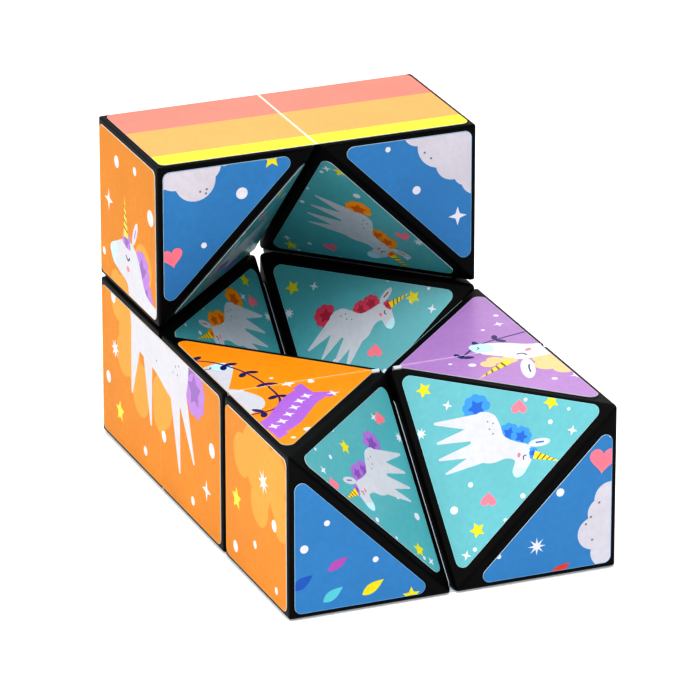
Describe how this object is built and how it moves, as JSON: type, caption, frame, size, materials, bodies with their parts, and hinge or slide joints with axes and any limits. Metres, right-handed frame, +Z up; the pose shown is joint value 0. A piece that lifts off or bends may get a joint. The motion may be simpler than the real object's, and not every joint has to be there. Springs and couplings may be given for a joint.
{
  "type": "folding cube puzzle",
  "caption": "Folding cube puzzle: a closed ring of corner-cut cubelets with printed film hinges, part unfolded into an L, that closes into a cube or opens into a flat slab.",
  "frame": {"origin": "under the middle of the whole puzzle, on the surface that it stands on", "axes": "+X to the right along the hinge lines of both folds, +Y to the back, towards the taller end, +Z up"},
  "size_m": [0.06, 0.09, 0.06],
  "materials": {
    "shell_plastic": "black moulded plastic, fine grain",
    "cover_plastic": "black moulded plastic, fine grain",
    "square_print": "printed film under a gloss laminate",
    "triangle_print": "printed film under a gloss laminate",
    "cut_label_print": "printed film under a gloss laminate"
  },
  "bodies": {
    "base": {"middle_left_back_film": "triangle_print", "middle_left_bottom_label": "square_print", "middle_left_cover": "cover_plastic", "middle_left_cut_label": "cut_label_print", "middle_left_front_film": "square_print", "middle_left_left_film": "square_print", "middle_left_shell": "shell_plastic", "middle_left_top_film": "triangle_print", "middle_right_back_film": "triangle_print", "middle_right_bottom_label": "square_print", "middle_right_cover": "cover_plastic", "middle_right_cut_label": "cut_label_print", "middle_right_front_film": "square_print", "middle_right_right_film": "square_print", "middle_right_shell": "shell_plastic", "middle_right_top_film": "triangle_print", "rear_left_back_film": "square_print", "rear_left_bottom_label": "square_print", "rear_left_cover": "cover_plastic", "rear_left_cut_label": "cut_label_print", "rear_left_front_film": "triangle_print", "rear_left_left_film": "square_print", "rear_left_shell": "shell_plastic", "rear_left_top_film": "triangle_print", "rear_right_back_film": "square_print", "rear_right_bottom_label": "square_print", "rear_right_cover": "cover_plastic", "rear_right_cut_label": "cut_label_print", "rear_right_front_film": "triangle_print", "rear_right_right_film": "square_print", "rear_right_shell": "shell_plastic", "rear_right_top_film": "triangle_print"},
    "upper_left": {"upper_left_back_film": "square_print", "upper_left_bottom_film": "triangle_print", "upper_left_cover": "cover_plastic", "upper_left_cut_label": "cut_label_print", "upper_left_right_film": "triangle_print", "upper_left_shell": "shell_plastic", "upper_left_top_film": "square_print"},
    "upper_right": {"upper_right_back_film": "square_print", "upper_right_bottom_film": "triangle_print", "upper_right_cover": "cover_plastic", "upper_right_cut_label": "cut_label_print", "upper_right_left_film": "triangle_print", "upper_right_shell": "shell_plastic", "upper_right_top_film": "square_print"},
    "front_left": {"front_left_back_film": "square_print", "front_left_bottom_film": "square_print", "front_left_cover": "cover_plastic", "front_left_cut_label": "cut_label_print", "front_left_right_film": "triangle_print", "front_left_shell": "shell_plastic", "front_left_top_film": "triangle_print"},
    "front_right": {"front_right_back_film": "square_print", "front_right_bottom_film": "square_print", "front_right_cover": "cover_plastic", "front_right_cut_label": "cut_label_print", "front_right_left_film": "triangle_print", "front_right_shell": "shell_plastic", "front_right_top_film": "triangle_print"}
  },
  "joints": [
    {"name": "rear_fold_left", "type": "hinge", "parent": "base", "child": "upper_left", "pos_m": [-0.0151, 0.0452, 0.03], "axis": [-1, 0, 0], "range_deg": [0, 180]},
    {"name": "rear_fold_right", "type": "hinge", "parent": "base", "child": "upper_right", "pos_m": [0.0151, 0.0452, 0.03], "axis": [-1, 0, 0], "range_deg": [0, 180]},
    {"name": "front_fold_left", "type": "hinge", "parent": "base", "child": "front_left", "pos_m": [-0.0151, -0.0152, 0.03], "axis": [-1, 0, 0], "range_deg": [0, 180]},
    {"name": "front_fold_right", "type": "hinge", "parent": "base", "child": "front_right", "pos_m": [0.0151, -0.0152, 0.03], "axis": [-1, 0, 0], "range_deg": [0, 180]}
  ],
  "couplings": [
    {"joint": "rear_fold_right", "follows": "rear_fold_left", "ratio": 1},
    {"joint": "front_fold_right", "follows": "front_fold_left", "ratio": 1}
  ]
}
